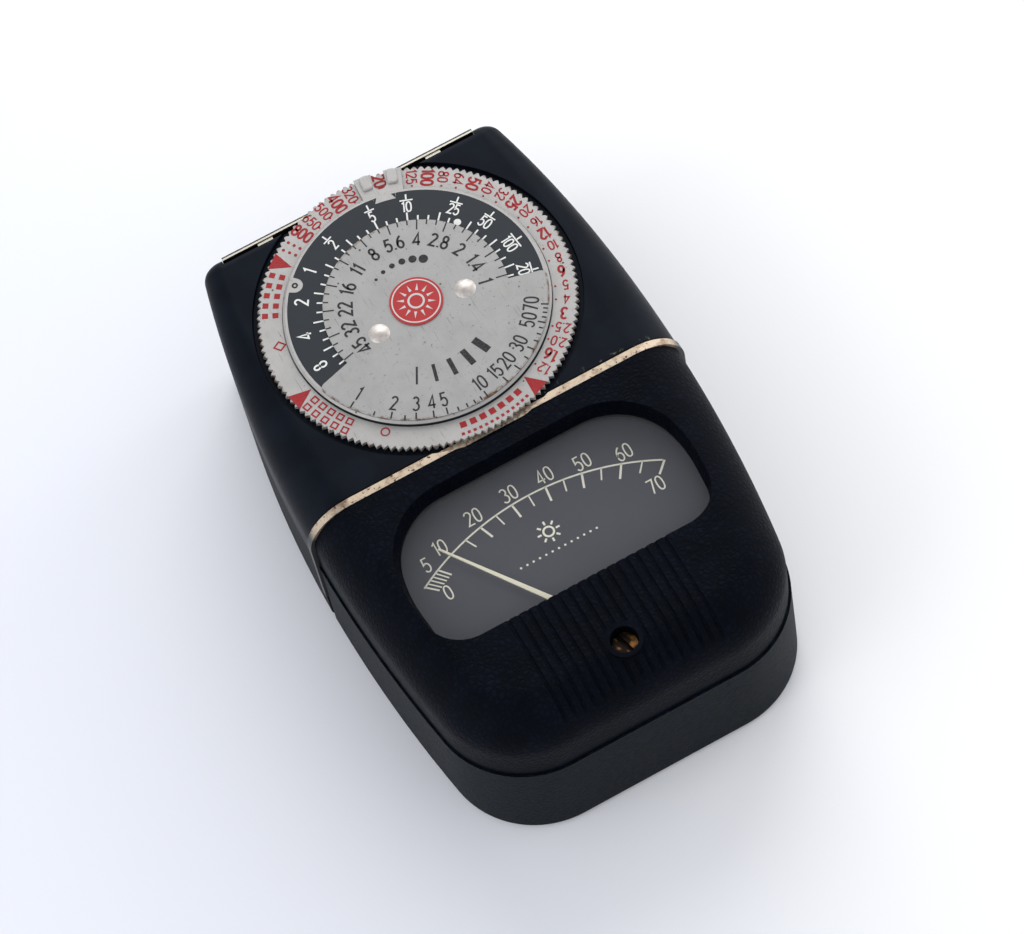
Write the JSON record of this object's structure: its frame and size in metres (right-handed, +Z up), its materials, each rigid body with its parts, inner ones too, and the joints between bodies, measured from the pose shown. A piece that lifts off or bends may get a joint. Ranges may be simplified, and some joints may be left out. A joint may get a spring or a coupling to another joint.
{
  "type": "selenium light meter",
  "caption": "Pocket selenium exposure meter: a glazed moving-coil scale in the base, and a slide-off hood that carries a turning exposure dial and a hinged perforated cover.",
  "frame": {"origin": "on the resting plane, in the joint plane between base and hood, on the line of symmetry", "axes": "+X to the right across the dial face, +Y from the meter scale to the light opening, +Z up out of the dial face"},
  "size_m": [0.06, 0.0908, 0.0329],
  "materials": {
    "shell_base": "grained black",
    "shell_hood": "satin black",
    "band": "pale plated strip, worn",
    "glass": "clear",
    "dark_metal": "matt black paint",
    "scale_face": "grey print ground",
    "brass": "turned",
    "steel": "bright",
    "magnet": "ground",
    "iron": "soft iron",
    "selenium": "dark coated plate",
    "moulding": "black moulding",
    "wire": "insulated",
    "winding": "enamelled copper",
    "needle": "cream",
    "dial_silver": "satin, printed",
    "dial_dark": "satin, printed",
    "medallion": "enamel",
    "cover": "black paint, bare edge"
  },
  "bodies": {
    "base": {"back_shell": "shell_base", "front_shell": "shell_base", "trim_band": "band", "window_glass": "glass", "glass_retainer": "dark_metal", "scale_plate": "scale_face", "scale_pillars": "brass", "scale_screws": "brass", "movement_frame": "moulding", "magnet": "magnet", "pole_pieces": "iron", "iron_core": "iron", "core_bracket": "brass", "upper_bridge": "brass", "lower_bridge": "brass", "jewel_screws": "brass", "bridge_screws": "steel", "lower_hairspring": "brass", "selenium_cell": "selenium", "cell_contact_ring": "brass", "cell_back_contact": "brass", "cell_frame": "moulding", "cell_glass": "glass", "lead_wires": "wire", "trimming_resistor": "winding", "case_screws": "steel", "catch_springs": "steel"},
    "pointer": {"needle": "needle", "moving_coil": "winding", "pointer_staff": "steel", "balance_weights": "steel"},
    "zero_screw": {"zero_screw": "brass"},
    "zero_arm": {"zero_arm": "brass", "upper_hairspring": "brass"},
    "hood": {"hood_front_shell": "shell_hood", "hood_back_shell": "shell_hood", "hood_liner": "dark_metal", "hood_screws": "steel", "dial_hub": "brass", "hub_washer": "steel", "hub_nut": "steel", "dial_washer": "steel", "top_plate": "dial_silver", "dial_rivets": "steel", "medallion": "medallion", "cover_hinge_pin": "steel"},
    "ring": {"exposure_ring": "dial_silver"},
    "disc": {"speed_disc": "dial_dark"},
    "cover": {"cover": "cover"}
  },
  "joints": [
    {"name": "pointer_swing", "type": "hinge", "parent": "base", "child": "pointer", "pos_m": [0, -0.0328, 0.015], "axis": [0, 0, 1], "range_deg": [-80, 12.4], "stiffness_Nm_per_rad": 0.000002},
    {"name": "zero_screw_turn", "type": "hinge", "parent": "base", "child": "zero_screw", "pos_m": [0, -0.0382, 0.027], "axis": [0, 0, 1], "range_deg": [-40, 40]},
    {"name": "zero_arm_turn", "type": "hinge", "parent": "base", "child": "zero_arm", "pos_m": [0, -0.0328, 0.0242], "axis": [0, 0, 1], "range_deg": [-5, 5]},
    {"name": "hood_slide", "type": "slide", "parent": "base", "child": "hood", "axis": [0, 1, 0], "range_m": [0, 0.045]},
    {"name": "ring_turn", "type": "hinge", "parent": "hood", "child": "ring", "pos_m": [0, 0.0224, 0.0306], "axis": [0, 0, 1], "continuous": true},
    {"name": "disc_turn", "type": "hinge", "parent": "ring", "child": "disc", "pos_m": [0, 0.0224, 0.0312], "axis": [0, 0, 1], "range_deg": [-137, 37.3]},
    {"name": "cover_swing", "type": "hinge", "parent": "hood", "child": "cover", "pos_m": [0, 0.0439, 0.0019], "axis": [-1, 0, 0], "range_deg": [0, 90]}
  ],
  "couplings": [
    {"joint": "zero_arm_turn", "follows": "zero_screw_turn", "ratio": -0.118}
  ]
}
